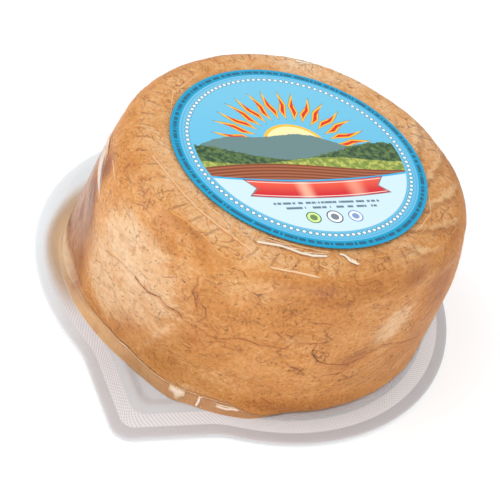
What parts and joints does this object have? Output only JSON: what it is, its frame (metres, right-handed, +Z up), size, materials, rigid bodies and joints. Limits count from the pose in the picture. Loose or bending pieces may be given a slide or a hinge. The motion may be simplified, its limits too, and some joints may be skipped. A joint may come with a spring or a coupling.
{
  "type": "smoked fresh cheese",
  "caption": "Low wheel of smoked fresh cheese on a thin formed tray with a peel corner, sealed under clear skin film with a round label.",
  "frame": {"origin": "centre of the tray's round outline, on the underside of its floor", "axes": "+Z up, out of the label; -Y towards the tray's peel corner"},
  "size_m": [0.18, 0.2, 0.072],
  "materials": {
    "tray_plastic": "thin white thermoformed sheet, satin, with a finely knurled seal band",
    "smoked_rind": "tan smoked rind, mottled, with fine dark cracks and paler patches",
    "clear_film": "clear glossy skin film with wrinkles",
    "label_paper": "light blue printed paper with a darker rim"
  },
  "bodies": {
    "root": {"tray": "tray_plastic", "cheese": "smoked_rind", "film": "clear_film", "label": "label_paper"}
  },
  "joints": []
}
